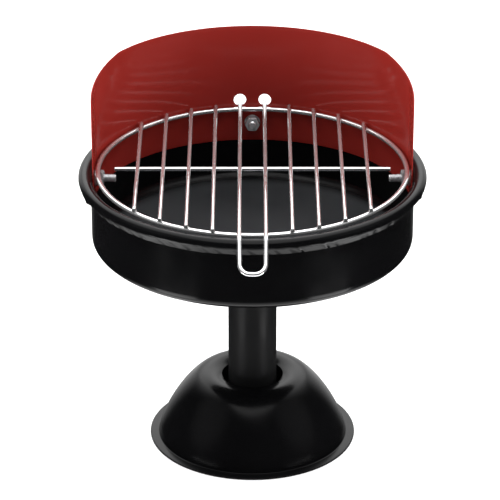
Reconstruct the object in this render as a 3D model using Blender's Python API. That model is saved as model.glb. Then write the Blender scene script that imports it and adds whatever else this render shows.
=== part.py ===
"""A portable tabletop grill: an enamelled fire bowl on a pedestal, a wind shield, and a wire cooking grid.

Metres, +Z up, the cook stands at -Y. The origin is under the middle of the bounding box, at table level.
Every turned piece shares one upright axis, which the empty "upright_axis" holds.
"""

from math import asin, atan2, cos, hypot, pi, radians, sin, sqrt, tan

import bmesh
import bpy
from mathutils import Matrix, Vector

# Overall
GAP = 0.0003
SHEET = 0.0008

# How finely round pieces are divided
BOWL_SEGMENTS = 56
FOOT_SEGMENTS = 44
TUBE_SEGMENTS = 36
LARGE_WASHER_SEGMENTS = 24
FASTENER_SEGMENTS = 20
ROD_SEGMENTS = 16
WIRE_SEGMENTS = 12
RING_WIRE_SEGMENTS = 8
BOWL_CORNER_STEPS = 7
BEAD_STEPS = 5
DOME_STEPS = 8
CREST_ROLL_STEPS = 5
FOOT_EDGE_STEPS = 4
HEAD_STEPS = 4
SHIELD_CORNER_STEPS = 4
HEXAGON_EDGE_CUTS = 3

# Fire bowl: drawn sheet with a rolled rim bead that ends in a skirt
BOWL_RADIUS = 0.1171
BOWL_FLOOR = 0.150
FLOOR_RADIUS = 0.0465
CORNER_RISE = 0.0164
CORNER_POWER = 2.46
BEAD_RADIUS = 0.0043
BEAD_CENTRE = (0.1217, 0.2110)
BEAD_START = radians(160)
BEAD_END = radians(-40)
SKIRT_FOOT = (0.1220, 0.2036)
RIM_RADIUS = BEAD_CENTRE[0] + BEAD_RADIUS

# Wind shield: a strip of sheet bent inside the bowl's wall
SHIELD_THICKNESS = 0.0007
SHIELD_RADIUS = 0.1154
SHIELD_FOOT = 0.1889
SHIELD_TOP = 0.2816
SHIELD_HALF_ANGLE = radians(96)
SHIELD_LEVEL_ANGLE = radians(58)
SHIELD_SLOPE = 0.0172
SHIELD_CORNER = 0.006
SHIELD_STEP = radians(4)
WIRE_HOLE_RADIUS = 0.0047
WIRE_HOLE_X = 0.0094
WIRE_HOLE_HEIGHT = 0.2220
WIRE_REST_GAP = 0.0004

# Shield bolts, washers and nuts: M6, one at the rear and one near each end of the shield
BOLT_RADIUS = 0.003
BOLT_CHAMFER = 0.0005
BOLT_HOLE_RADIUS = 0.0033
BOLT_HEIGHT = 0.2038
HEAD_RADIUS = 0.006
HEAD_HEIGHT = 0.0028
WASHER_RADIUS = 0.006
WASHER_THICKNESS = 0.0012
NUT_ACROSS_FLATS = 0.010
NUT_THICKNESS = 0.0048
WASHER_SEAT = 0.1147
CUTTER_DEPTH = 0.006
REAR_BOLT_LENGTH = 0.0115
SIDE_BOLT_LENGTH = 0.0178
SHIELD_BOLTS = {
    "rear": (0, REAR_BOLT_LENGTH),
    "left": (radians(85), SIDE_BOLT_LENGTH),
    "right": (radians(-85), SIDE_BOLT_LENGTH),
}

# Cooking grid: a ring with bars on top of it, hung by the two legs of its handle wire.
# Its heights are those of a level grid, before it hangs down to rest on the rim bead.
BAR_PITCH = 0.0184
BARS_EACH_SIDE = 4
BAR_RADIUS = 0.0014
BAR_FRONT_OVERHANG = 0.0026
BAR_REAR_OVERHANG = 0.0012
HANDLE_RADIUS = 0.0015
RING_WIRE_RADIUS = 0.0018
RING_RADIUS = 0.1116
CROSSBAR_RADIUS = 0.0015
CROSSBAR_HALF_LENGTH = 0.0998
HANDLE_HEIGHT = WIRE_HOLE_HEIGHT - WIRE_HOLE_RADIUS + HANDLE_RADIUS + WIRE_REST_GAP
RING_HEIGHT = HANDLE_HEIGHT - HANDLE_RADIUS - GAP - RING_WIRE_RADIUS
CROSSBAR_HEIGHT = HANDLE_HEIGHT - HANDLE_RADIUS - GAP - CROSSBAR_RADIUS
BAR_HEIGHT = RING_HEIGHT + RING_WIRE_RADIUS + GAP + BAR_RADIUS
TIP_PAST_SHIELD = 0.0046
HANDLE_TIP = SHIELD_RADIUS + TIP_PAST_SHIELD
HANDLE_HALF_WIDTH = BAR_PITCH / 2
HANDLE_END_HALF_WIDTH = 0.0088
HANDLE_SLOPE = radians(38.5)
HANDLE_BEND_RADIUS = 0.0075
HANDLE_REACH = 0.1465
HANDLE_TO_BEAD = BEAD_RADIUS + HANDLE_RADIUS + GAP

# Foot: a spun dome whose crest turns down into a socket, and the tube that stands in it
FOOT_RADIUS = 0.0767
FOOT_EDGE = 0.0016
DOME_ROOT_RADIUS = 0.0701
DOME_TOP_RADIUS = 0.0391
DOME_TOP_HEIGHT = 0.0496
DOME_POWER = 1.32
DOME_START = radians(5.5)
CREST_ROLL_RADIUS = 0.0175
CREST_ROLL_CENTRE = (0.0321, 0.0336)
CREST_ROLL_START = radians(122)
CREST_ROLL_END = radians(63)
SOCKET_RADIUS = 0.0186
SOCKET_FLOOR = 0.0360
TUBE_RADIUS = 0.0179
TUBE_WALL = 0.0009
TUBE_TOP_CHAMFER = 0.0010

# Tie rod through bowl, tube and foot: M6
ROD_FOOT = 0.0220
ROD_TOP = 0.1570
LARGE_WASHER_RADIUS = 0.009
LARGE_WASHER_THICKNESS = 0.0012
LOW_NUT_THICKNESS = 0.0032
WING_HUB_RADIUS = 0.0055
WING_HUB_HEIGHT = 0.0065
WING_HUB_FLARE = 0.001
WING_SPAN = 0.0150
WING_THICKNESS = 0.0020
WING_RADIUS = 0.0055
WING_STRETCH = 1.35
WING_LEAN = radians(25)
WING_DROP = 0.0075

# The upright axis stands behind the origin, so that the handle's reach is balanced
AXIS_Y = (HANDLE_REACH - RIM_RADIUS) / 2

RED_ENAMEL = ((0.36, 0.022, 0.018), 0.18, 0.0)
BLACK_ENAMEL = ((0.008, 0.008, 0.009), 0.16, 0.0)
CHROME = ((0.86, 0.86, 0.87), 0.08, 1.0)
ZINC = ((0.60, 0.61, 0.62), 0.28, 1.0)


def clear_scene():
    for old in list(bpy.data.objects):
        bpy.data.objects.remove(old, do_unlink=True)


def make_axis():
    """The empty that holds the upright axis of the bowl, the tube and the foot."""
    axis = bpy.data.objects.new("upright_axis", None)
    axis.location = (0, AXIS_Y, 0)
    bpy.context.collection.objects.link(axis)
    return axis


def make_material(name, finish):
    colour, roughness, metallic = finish
    material = bpy.data.materials.new(name)
    material.use_nodes = True
    shader = material.node_tree.nodes["Principled BSDF"]
    shader.inputs["Base Color"].default_value = (*colour, 1)
    shader.inputs["Roughness"].default_value = roughness
    shader.inputs["Metallic"].default_value = metallic
    material.diffuse_color = (*colour, 1)
    return material


def place(name, data, finish, axis, place_matrix=Matrix()):
    """Link one sub-part in its own material, placed from the upright axis."""
    part = bpy.data.objects.new(name, data)
    bpy.context.collection.objects.link(part)
    part.parent = axis
    part.matrix_local = place_matrix
    if not data.materials:
        data.materials.append(None)
    part.material_slots[0].link = "OBJECT"
    part.material_slots[0].material = make_material(name, finish)
    return part


def finished_mesh(name, shape):
    """A mesh from a bmesh, its faces outward and its round faces smooth."""
    bmesh.ops.remove_doubles(shape, verts=shape.verts, dist=1e-6)
    bmesh.ops.recalc_face_normals(shape, faces=shape.faces)
    mesh = bpy.data.meshes.new(name)
    shape.to_mesh(mesh)
    shape.free()
    mesh.shade_smooth()
    mesh.set_sharp_from_angle(angle=radians(35))
    return mesh


def turned_mesh(name, outline, segments):
    """A half outline of (radius, height) points spun about Z.

    An outline that starts off the axis is closed on itself.
    """
    shape = bmesh.new()
    corners = [shape.verts.new((radius, 0, height)) for radius, height in outline]
    edges = [shape.edges.new(pair) for pair in zip(corners, corners[1:])]
    if outline[0][0] > 0:
        edges.append(shape.edges.new((corners[-1], corners[0])))
    bmesh.ops.spin(
        shape, geom=corners + edges, cent=(0, 0, 0), axis=(0, 0, 1), angle=2 * pi, steps=segments
    )
    return finished_mesh(name, shape)


def offset_path(path, distance):
    """The path moved sideways by the distance, to its left, with mitred corners."""
    points = [Vector(point) for point in path]
    directions = [(after - before).normalized() for before, after in zip(points, points[1:])]
    moved = []
    for index, point in enumerate(points):
        first = directions[max(index - 1, 0)]
        second = directions[min(index, len(directions) - 1)]
        normal = Vector((-first.y - second.y, first.x + second.x)).normalized()
        reach = distance / normal.dot(Vector((-first.y, first.x)))
        moved.append(tuple(point + normal * reach))
    return moved


def sheet_outline(path, thickness):
    """The closed outline of a sheet whose one face is the path and whose other face lies to its left."""
    return path + offset_path(path, thickness)[::-1]


def arc(centre, radius, start, end, steps):
    """Points on a circle from one angle to another, both ends included."""
    turn = (end - start) / steps
    return [
        (centre[0] + radius * cos(start + turn * i), centre[1] + radius * sin(start + turn * i))
        for i in range(steps + 1)
    ]


def super_corner(centre, width, height, power, steps, start=0):
    """A superellipse from the start angle, 0 being straight above its centre, to straight beside it."""
    angles = [start + (pi / 2 - start) * i / steps for i in range(steps + 1)]
    return [
        (
            centre[0] + width * sin(angle) ** (2 / power),
            centre[1] + height * cos(angle) ** (2 / power),
        )
        for angle in angles
    ]


def rounded_path(corners, bend_radius, steps=5):
    """A 3D path along straight runs, with each inner corner bent to the radius."""
    points = [Vector(corner) for corner in corners]
    path = [points[0]]
    for before, corner, after in zip(points, points[1:], points[2:]):
        back = (before - corner).normalized()
        onward = (after - corner).normalized()
        half_angle = back.angle(onward) / 2
        middle = corner + (back + onward).normalized() * (bend_radius / sin(half_angle))
        start = (corner + back * (bend_radius / tan(half_angle)) - middle).normalized()
        end = (corner + onward * (bend_radius / tan(half_angle)) - middle).normalized()
        path += [middle + start.slerp(end, i / steps) * bend_radius for i in range(steps + 1)]
    return path + [points[-1]]


def fire_bowl(axis):
    """Up the inner face, over the bead to the skirt's foot, and back along the outer face."""
    corner = super_corner(
        (FLOOR_RADIUS, BOWL_FLOOR + CORNER_RISE),
        BOWL_RADIUS - FLOOR_RADIUS,
        -CORNER_RISE,
        CORNER_POWER,
        BOWL_CORNER_STEPS,
    )
    inside = offset_path([(BOLT_HOLE_RADIUS, BOWL_FLOOR)] + corner, SHEET)
    bead = arc(BEAD_CENTRE, BEAD_RADIUS, BEAD_START, BEAD_END, BEAD_STEPS) + [SKIRT_FOOT]
    step_height = bead[0][1] - SHEET
    step = (BOWL_RADIUS - SHEET, step_height)
    neck = (BOWL_RADIUS, step_height - SHEET)
    outside = [neck] + corner[::-1] + [(BOLT_HOLE_RADIUS, BOWL_FLOOR)]
    outline = inside + [step] + bead + offset_path(bead, -SHEET)[::-1] + outside
    bowl = turned_mesh("fire_bowl", outline, BOWL_SEGMENTS)
    return place("fire_bowl", bowl, BLACK_ENAMEL, axis)


def shield_top(angle):
    """The height of the shield's top edge: level, then falling towards the ends, with a round corner."""
    past_level = max(abs(angle) - SHIELD_LEVEL_ANGLE, 0)
    from_end = (SHIELD_HALF_ANGLE - abs(angle)) * SHIELD_RADIUS
    into_corner = max(SHIELD_CORNER - from_end, 0)
    corner_drop = SHIELD_CORNER - sqrt(SHIELD_CORNER**2 - into_corner**2)
    return SHIELD_TOP - SHIELD_SLOPE * past_level - corner_drop


def shield_angles():
    """Even steps along the shield, and finer ones in each round corner."""
    corner_angle = SHIELD_CORNER / SHIELD_RADIUS
    last = SHIELD_HALF_ANGLE - corner_angle
    steps = round(2 * last / SHIELD_STEP)
    even = [-last + 2 * last * i / steps for i in range(steps + 1)]
    quarters = [pi / 2 * i / SHIELD_CORNER_STEPS for i in range(1, SHIELD_CORNER_STEPS + 1)]
    fine = [last + corner_angle * sin(quarter) for quarter in quarters]
    return [-angle for angle in reversed(fine)] + even + fine


def wind_shield(axis):
    """A curved strip, one column of four corners for each angle from the rear."""
    shape = bmesh.new()
    radii = (SHIELD_RADIUS - SHIELD_THICKNESS / 2, SHIELD_RADIUS + SHIELD_THICKNESS / 2)
    columns = []
    for angle in shield_angles():
        side = Vector((-sin(angle), cos(angle), 0))
        foot = Vector((0, 0, SHIELD_FOOT))
        top = Vector((0, 0, shield_top(angle)))
        inner, outer = [side * radius for radius in radii]
        corners = (inner + foot, outer + foot, outer + top, inner + top)
        columns.append([shape.verts.new(corner) for corner in corners])
    for here, there in zip(columns, columns[1:]):
        for i in range(4):
            shape.faces.new((here[i], here[(i + 1) % 4], there[(i + 1) % 4], there[i]))
    shape.faces.new(columns[0])
    shape.faces.new(columns[-1])
    return place("wind_shield", finished_mesh("wind_shield", shape), RED_ENAMEL, axis)


def radial(angle, radius, height):
    """A frame at this angle from the rear whose +Z points at the upright axis."""
    side = Vector((-sin(angle), cos(angle), 0))
    turn = (-side).to_track_quat("Z", "Y").to_matrix().to_4x4()
    return Matrix.Translation(side * radius + Vector((0, 0, height))) @ turn


def disc_mesh(name, radius, thickness, segments, shaping=Matrix()):
    """A flat round disc about the origin, reshaped and moved by the matrix."""
    shape = bmesh.new()
    bmesh.ops.create_cone(
        shape, cap_ends=True, segments=segments, radius1=radius, radius2=radius, depth=thickness
    )
    shape.transform(shaping)
    return finished_mesh(name, shape)


def combine(part, tool, operation):
    """A Boolean of the part with a tool, which is itself only a guide."""
    tool.hide_render = True
    tool.display_type = "WIRE"
    boolean = part.modifiers.new(tool.name, "BOOLEAN")
    boolean.operation = operation
    boolean.solver = "EXACT"
    boolean.object = tool


def cut_hole(parts, name, radius, axis, place_matrix):
    """A round cutter through the parts, centred on the frame."""
    disc = disc_mesh(name, radius, CUTTER_DEPTH, FASTENER_SEGMENTS)
    cutter = place(name, disc, ZINC, axis, place_matrix)
    for part in parts:
        combine(part, cutter, "DIFFERENCE")


def bolt_outline(length):
    """A domed head whose seat is at height 0, and a shank up to the length."""
    angles = [pi / 2 * i / HEAD_STEPS for i in range(HEAD_STEPS + 1)]
    head = [(HEAD_RADIUS * sin(angle), -HEAD_HEIGHT * cos(angle)) for angle in angles]
    shank = [(BOLT_RADIUS, 0), (BOLT_RADIUS, length - BOLT_CHAMFER)]
    return head + shank + [(BOLT_RADIUS - BOLT_CHAMFER, length), (0, length)]


def ring_outline(inner, outer, height):
    return [(inner, 0), (outer, 0), (outer, height), (inner, height)]


def nut_mesh(thickness):
    """A hexagon joined to its bore, then raised to the nut's thickness."""
    shape = bmesh.new()
    bmesh.ops.create_circle(shape, segments=6 * (HEXAGON_EDGE_CUTS + 1), radius=BOLT_HOLE_RADIUS)
    corner_radius = NUT_ACROSS_FLATS / sqrt(3)
    hexagon = bmesh.ops.create_circle(shape, segments=6, radius=corner_radius)["verts"]
    outside = {edge for corner in hexagon for edge in corner.link_edges}
    bmesh.ops.subdivide_edges(shape, edges=list(outside), cuts=HEXAGON_EDGE_CUTS)
    bmesh.ops.bridge_loops(shape, edges=shape.edges)
    grown = bmesh.ops.extrude_face_region(shape, geom=shape.faces)["geom"]
    raised = [item for item in grown if isinstance(item, bmesh.types.BMVert)]
    bmesh.ops.translate(shape, verts=raised, vec=(0, 0, thickness))
    return finished_mesh("hex_nut", shape)


def shield_fasteners(bowl, shield, axis):
    """A bolt through bowl and shield, a washer and a nut inside, at the rear and near each end."""
    washer_outline = ring_outline(BOLT_HOLE_RADIUS, WASHER_RADIUS, WASHER_THICKNESS)
    washer = turned_mesh("washer", washer_outline, FASTENER_SEGMENTS)
    nut = nut_mesh(NUT_THICKNESS)
    nut_seat = WASHER_SEAT - WASHER_THICKNESS - GAP
    for side, (angle, length) in SHIELD_BOLTS.items():
        bolt = turned_mesh(f"{side}_bolt", bolt_outline(length), FASTENER_SEGMENTS)
        hole = radial(angle, BOWL_RADIUS - SHEET, BOLT_HEIGHT)
        cut_hole((bowl, shield), f"{side}_bolt_cutter", BOLT_HOLE_RADIUS, axis, hole)
        place(f"{side}_bolt", bolt, ZINC, axis, radial(angle, BOWL_RADIUS + GAP, BOLT_HEIGHT))
        place(f"{side}_washer", washer, ZINC, axis, radial(angle, WASHER_SEAT, BOLT_HEIGHT))
        place(f"{side}_nut", nut, ZINC, axis, radial(angle, nut_seat, BOLT_HEIGHT))


def wire_holes(shield, axis):
    """The two holes in the shield that the handle wire's tips sit in."""
    for side, x in (("left", -WIRE_HOLE_X), ("right", WIRE_HOLE_X)):
        centre = Matrix.Translation((x, SHIELD_RADIUS, WIRE_HOLE_HEIGHT))
        along = Matrix.Rotation(pi / 2, 4, "X")
        cut_hole((shield,), f"{side}_wire_cutter", WIRE_HOLE_RADIUS, axis, centre @ along)


def grid_slope():
    """The angle the grid hangs at, with its tips in the shield and its handle on the rim bead."""
    span = SHIELD_RADIUS + BEAD_CENTRE[0]
    drop = HANDLE_HEIGHT - BEAD_CENTRE[1]
    return atan2(drop, span) - asin(HANDLE_TO_BEAD / hypot(span, drop))


def pivot_matrix():
    """The line in the shield's holes that the grid tips up about, sloped as the grid hangs."""
    place = Matrix.Translation((0, SHIELD_RADIUS, HANDLE_HEIGHT))
    return place @ Matrix.Rotation(grid_slope(), 4, "X")


def pivot_frame(axis):
    """The empty that every piece of the grid is placed from."""
    pivot = bpy.data.objects.new("grid_pivot", None)
    pivot.parent = axis
    pivot.matrix_local = pivot_matrix()
    bpy.context.collection.objects.link(pivot)
    return pivot


def from_pivot(x, y, height):
    """A place on the level grid, given from the upright axis, moved into the pivot's frame."""
    return Matrix.Translation((x, y - SHIELD_RADIUS, height - HANDLE_HEIGHT))


def straight_wire(name, radius, half_length, place_matrix, pivot):
    outline = [(0, -half_length), (radius, -half_length), (radius, half_length), (0, half_length)]
    place(name, turned_mesh(name, outline, WIRE_SEGMENTS), CHROME, pivot, place_matrix)


def grid_ring(pivot):
    section = arc((RING_RADIUS, 0), RING_WIRE_RADIUS, 0, 2 * pi, RING_WIRE_SEGMENTS)[:-1]
    ring = turned_mesh("grid_ring", section, BOWL_SEGMENTS)
    place("grid_ring", ring, CHROME, pivot, from_pivot(0, 0, RING_HEIGHT))


def grid_bars(pivot):
    """The crossbar under the bars, and the bars on top of the ring, numbered from -X to +X."""
    across = Matrix.Rotation(pi / 2, 4, "Y")
    along = Matrix.Rotation(pi / 2, 4, "X")
    middle = from_pivot(0, 0, CROSSBAR_HEIGHT)
    straight_wire("grid_crossbar", CROSSBAR_RADIUS, CROSSBAR_HALF_LENGTH, middle @ across, pivot)
    right = [(i + 0.5) * BAR_PITCH for i in range(1, BARS_EACH_SIDE + 1)]
    left = [-x for x in reversed(right)]
    for number, x in enumerate(left + right, 1):
        half_chord = sqrt(RING_RADIUS**2 - x**2)
        half_length = half_chord + (BAR_FRONT_OVERHANG + BAR_REAR_OVERHANG) / 2
        centre = from_pivot(x, (BAR_REAR_OVERHANG - BAR_FRONT_OVERHANG) / 2, BAR_HEIGHT)
        straight_wire(f"grid_bar_{number}", BAR_RADIUS, half_length, centre @ along, pivot)


def handle_corners():
    """One leg's corners from the rear tip, over the rim bead, down to the handle's end.

    Both straight runs of the leg touch the same circle round the bead's centre.
    """
    slope = grid_slope()
    tip_height = HANDLE_HEIGHT + TIP_PAST_SHIELD * tan(slope)
    bend_angle = (HANDLE_SLOPE + slope) / 2
    bend_reach = HANDLE_TO_BEAD / cos((HANDLE_SLOPE - slope) / 2)
    bend_y = -BEAD_CENTRE[0] - bend_reach * sin(bend_angle)
    bend_height = BEAD_CENTRE[1] + bend_reach * cos(bend_angle)
    end_y = HANDLE_RADIUS - HANDLE_REACH
    end_height = bend_height - (bend_y - end_y) * tan(HANDLE_SLOPE)
    return [
        (HANDLE_HALF_WIDTH, HANDLE_TIP, tip_height),
        (HANDLE_HALF_WIDTH, bend_y, bend_height),
        (HANDLE_END_HALF_WIDTH, end_y, end_height),
    ]


def grid_handle(pivot):
    """One long wire: two legs under the food and a U that hangs out over the rim."""
    leg = handle_corners()
    other_leg = [(-x, y, z) for x, y, z in reversed(leg)]
    path = rounded_path(leg + other_leg, HANDLE_BEND_RADIUS)
    curve = bpy.data.curves.new("grid_handle", "CURVE")
    curve.dimensions = "3D"
    curve.bevel_depth = HANDLE_RADIUS
    curve.bevel_resolution = 3
    curve.use_fill_caps = True
    wire = curve.splines.new("POLY")
    wire.points.add(len(path) - 1)
    into_pivot = pivot_matrix().inverted()
    for point, corner in zip(wire.points, path):
        point.co = (*(into_pivot @ corner), 1)
    place("grid_handle", curve, CHROME, pivot)


def base_dome(axis):
    """Top face from the socket floor's hole, up the socket, over the crest and down to the rolled edge."""
    socket = [(BOLT_HOLE_RADIUS, SOCKET_FLOOR), (SOCKET_RADIUS, SOCKET_FLOOR)]
    roll = arc(CREST_ROLL_CENTRE, CREST_ROLL_RADIUS, CREST_ROLL_START, CREST_ROLL_END, CREST_ROLL_STEPS)
    dome = super_corner(
        (DOME_TOP_RADIUS, FOOT_EDGE),
        DOME_ROOT_RADIUS - DOME_TOP_RADIUS,
        DOME_TOP_HEIGHT - FOOT_EDGE,
        DOME_POWER,
        DOME_STEPS,
        DOME_START,
    )
    top = socket + roll[:-1] + dome
    edge_radius = FOOT_EDGE / 2
    edge = arc((FOOT_RADIUS - edge_radius, edge_radius), edge_radius, pi / 2, -pi / 2, FOOT_EDGE_STEPS)
    under = offset_path(top, -SHEET)[:-1]
    root = (DOME_ROOT_RADIUS - SHEET, 0)
    foot = turned_mesh("base_dome", top + edge + [root] + under[::-1], FOOT_SEGMENTS)
    place("base_dome", foot, BLACK_ENAMEL, axis)


def pedestal_tube(axis):
    foot = SOCKET_FLOOR + GAP
    top = BOWL_FLOOR - GAP
    chamfer = [(TUBE_RADIUS, top - TUBE_TOP_CHAMFER), (TUBE_RADIUS - TUBE_TOP_CHAMFER, top)]
    outer = [(TUBE_RADIUS, foot)] + chamfer
    tube = turned_mesh("pedestal_tube", sheet_outline(outer, TUBE_WALL), TUBE_SEGMENTS)
    place("pedestal_tube", tube, BLACK_ENAMEL, axis)


def tie_rod(axis):
    """The rod, with a washer and a nut in the bowl and a washer under the socket's floor."""
    end_radius = BOLT_RADIUS - BOLT_CHAMFER
    lower = [(0, ROD_FOOT), (end_radius, ROD_FOOT), (BOLT_RADIUS, ROD_FOOT + BOLT_CHAMFER)]
    upper = [(BOLT_RADIUS, ROD_TOP - BOLT_CHAMFER), (end_radius, ROD_TOP), (0, ROD_TOP)]
    place("tie_rod", turned_mesh("tie_rod", lower + upper, ROD_SEGMENTS), ZINC, axis)
    washer_outline = ring_outline(BOLT_HOLE_RADIUS, LARGE_WASHER_RADIUS, LARGE_WASHER_THICKNESS)
    washer = turned_mesh("large_washer", washer_outline, LARGE_WASHER_SEGMENTS)
    floor_seat = BOWL_FLOOR + SHEET + GAP
    nut_seat = floor_seat + LARGE_WASHER_THICKNESS + GAP
    under_seat = SOCKET_FLOOR - SHEET - GAP - LARGE_WASHER_THICKNESS
    place("floor_washer", washer, ZINC, axis, Matrix.Translation((0, 0, floor_seat)))
    place("floor_nut", nut_mesh(LOW_NUT_THICKNESS), ZINC, axis, Matrix.Translation((0, 0, nut_seat)))
    place("foot_washer", washer, ZINC, axis, Matrix.Translation((0, 0, under_seat)))
    wing_nut(axis, under_seat - GAP)


def wing_nut(axis, seat):
    """A hub with two flat wings, under the foot washer; its origin is on the rod's axis."""
    hub_outline = [
        (BOLT_HOLE_RADIUS, 0),
        (WING_HUB_RADIUS + WING_HUB_FLARE, 0),
        (WING_HUB_RADIUS, -WING_HUB_HEIGHT),
        (BOLT_HOLE_RADIUS, -WING_HUB_HEIGHT),
    ]
    under_washer = Matrix.Translation((0, 0, seat))
    hub_mesh = turned_mesh("wing_nut", hub_outline, LARGE_WASHER_SEGMENTS)
    hub = place("wing_nut", hub_mesh, ZINC, axis, under_washer)
    upright = Matrix.Rotation(pi / 2, 4, "X")
    stretch = Matrix.Diagonal((1, WING_STRETCH, 1, 1))
    for name, side in (("left_wing", -1), ("right_wing", 1)):
        lean = Matrix.Rotation(side * WING_LEAN, 4, "Y")
        centre = Matrix.Translation((side * (WING_SPAN - WING_RADIUS), 0, -WING_DROP))
        shaping = centre @ lean @ upright @ stretch
        disc = disc_mesh(name, WING_RADIUS, WING_THICKNESS, ROD_SEGMENTS, shaping)
        combine(hub, place(name, disc, ZINC, axis, under_washer), "UNION")


def main():
    clear_scene()
    axis = make_axis()
    bowl = fire_bowl(axis)
    shield = wind_shield(axis)
    shield_fasteners(bowl, shield, axis)
    wire_holes(shield, axis)
    base_dome(axis)
    pedestal_tube(axis)
    tie_rod(axis)
    pivot = pivot_frame(axis)
    grid_ring(pivot)
    grid_bars(pivot)
    grid_handle(pivot)


main()
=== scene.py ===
"""The look of the portable tabletop grill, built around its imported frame.

Metres, +Z up, the cook at -Y. Bowl, tube and foot share one upright axis, and every outline of a
turned piece is a list of (radius, height) points about it.
"""

import random
from math import asin, atan2, cos, exp, hypot, pi, radians, sin, sqrt, tan

import bmesh
import bpy
from mathutils import Matrix, Vector, noise


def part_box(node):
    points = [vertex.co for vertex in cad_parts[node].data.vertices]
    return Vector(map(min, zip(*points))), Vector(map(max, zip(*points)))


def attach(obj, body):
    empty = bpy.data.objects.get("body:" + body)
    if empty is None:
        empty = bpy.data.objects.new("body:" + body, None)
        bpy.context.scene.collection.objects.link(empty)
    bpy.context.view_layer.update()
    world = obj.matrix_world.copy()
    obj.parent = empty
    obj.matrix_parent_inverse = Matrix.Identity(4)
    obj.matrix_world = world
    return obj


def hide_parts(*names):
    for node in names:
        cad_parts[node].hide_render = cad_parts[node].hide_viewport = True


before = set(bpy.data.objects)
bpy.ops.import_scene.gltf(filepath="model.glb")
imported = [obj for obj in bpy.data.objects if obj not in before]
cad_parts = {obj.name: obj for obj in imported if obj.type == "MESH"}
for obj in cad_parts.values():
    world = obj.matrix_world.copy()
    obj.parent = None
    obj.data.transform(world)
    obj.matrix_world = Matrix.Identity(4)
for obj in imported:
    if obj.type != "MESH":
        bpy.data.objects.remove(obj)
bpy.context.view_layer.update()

# Places and sizes read from the frame
TUBE_LOW, TUBE_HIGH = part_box("pedestal_tube")
BOWL_LOW, BOWL_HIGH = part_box("fire_bowl")
FOOT_LOW, FOOT_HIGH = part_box("base_dome")
RING_LOW, RING_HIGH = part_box("grid_ring")
SHIELD_LOW, SHIELD_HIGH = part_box("wind_shield")
HANDLE_LOW, HANDLE_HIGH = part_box("grid_handle")
AXIS_Y = (TUBE_LOW.y + TUBE_HIGH.y) / 2
UPRIGHT = Matrix.Translation((0, AXIS_Y, 0))

# Gap between touching pieces, sheet metal and its round edges, and what all meshes share
GAP = 0.0003
SHEET = 0.0008
EDGE_STEPS = 5
TINY = 1e-9
MERGE_DISTANCE = 1e-7
SHARP = radians(38)
TOOL_SEGMENTS = 64

# Fire bowl
RIM_RADIUS = (BOWL_HIGH.x - BOWL_LOW.x) / 2
BOWL_RADIUS = 0.1171
BOWL_FLOOR = BOWL_LOW.z
FLOOR_RADIUS = 0.0465
CORNER_RISE = 0.0164
CORNER_POWER = 2.46
BEAD_RADIUS = 0.0043
BEAD_CENTRE = (RIM_RADIUS - BEAD_RADIUS, BOWL_HIGH.z - BEAD_RADIUS)
BEAD_START = radians(160)
BEAD_END = radians(-40)
SKIRT_FOOT = (0.1220, 0.2036)
SHOULDER_BENDS = (0.0012, 0.0001)
BOLT_HOLE_RADIUS = 0.0033
BOWL_SEGMENTS = 640
CORNER_STEPS = 30
BEAD_STEPS = 22
SHOULDER_STEPS = 5
SKIRT_STEPS = 5

# Pleats in the bowl's skirt: spread is a share of their pitch, half widths are in degrees, slant is in
# radians from bead to hem, steep is the steep side's share of the half width, tail is how many half
# widths a pleat reaches, growth is the power it rises with down the skirt, and lift is the share of its
# push in or out that moves the hem up or down
PLEATS = 72
PLEAT_SEED = 7
PLEAT_DEPTH = 0.0030
PLEAT_SHALLOWEST = 0.4
PLEAT_SPREAD = 0.6
PLEAT_HALF_WIDTHS = (0.8, 1.6)
PLEAT_SLANT = 0.05
PLEAT_STEEP = 0.3
PLEAT_TAIL = 3
PLEAT_GROWTH = 1.5
PLEAT_LIFT = 0.5
HEM_WANDER = 0.00035
HEM_NOISE_RADIUS = 6
HEM_NOISE_HEIGHT = 0.5

# Wind shield
SHIELD_THICKNESS = 0.0007
SHIELD_RADIUS = (SHIELD_HIGH.x - SHIELD_LOW.x) / 2 - SHIELD_THICKNESS / 2
SHIELD_HALF_ANGLE = radians(96)
SHIELD_LEVEL_ANGLE = radians(58)
SHIELD_SLOPE = 0.0172
SHIELD_CORNER = 0.006
SHIELD_COLUMNS = 220
SHIELD_ROWS = 30
SHIELD_CORNER_STEPS = 14
SHIELD_EDGE_STEPS = 6
SHIELD_THINNEST = 0.00002
WIRE_HOLE_TOOL = 0.008
BOLT_HOLE_TOOL = 0.006
WIRE_HOLE_RADIUS = 0.0047
WIRE_HOLE_X = 0.0094
WIRE_HOLE_HEIGHT = 0.2220

# Cooking grid: its heights are those of a level grid, before it hangs down to rest on the rim bead
WIRE_SIDES = 20
WIRE_END_STEPS = 3
WIRE_END_ROUND = 0.0003
RING_WIRE_RADIUS = 0.0018
RING_RADIUS = (RING_HIGH.x - RING_LOW.x) / 2 - RING_WIRE_RADIUS
RING_SEGMENTS = 288
CROSSBAR_RADIUS = 0.0015
BARS = [f"grid_bar_{number}" for number in range(1, 9)]
BAR_RADIUS = 0.0014
BAR_FRONT_OVERHANG = 0.0026
BAR_REAR_OVERHANG = 0.0012
BAR_BOW = 0.00012
BAR_SAG = (-0.5, 0.3)
BAR_SEED = 3
BAR_STEPS = 32
CROSSBAR_STEPS = 24
WIRE_REST_GAP = 0.0004
HANDLE_RADIUS = 0.0015
HANDLE_HALF_WIDTH = 0.0092
HANDLE_END_HALF_WIDTH = 0.0088
HANDLE_SLOPE = radians(38.5)
HANDLE_BEND_RADIUS = 0.0075
HANDLE_BEND_STEPS = 14
HANDLE_END_ROUND = 0.0004
HANDLE_HEIGHT = WIRE_HOLE_HEIGHT - WIRE_HOLE_RADIUS + HANDLE_RADIUS + WIRE_REST_GAP
HANDLE_TO_BEAD = BEAD_RADIUS + HANDLE_RADIUS + GAP
WELD_HEIGHT = HANDLE_HEIGHT - HANDLE_RADIUS
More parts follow.
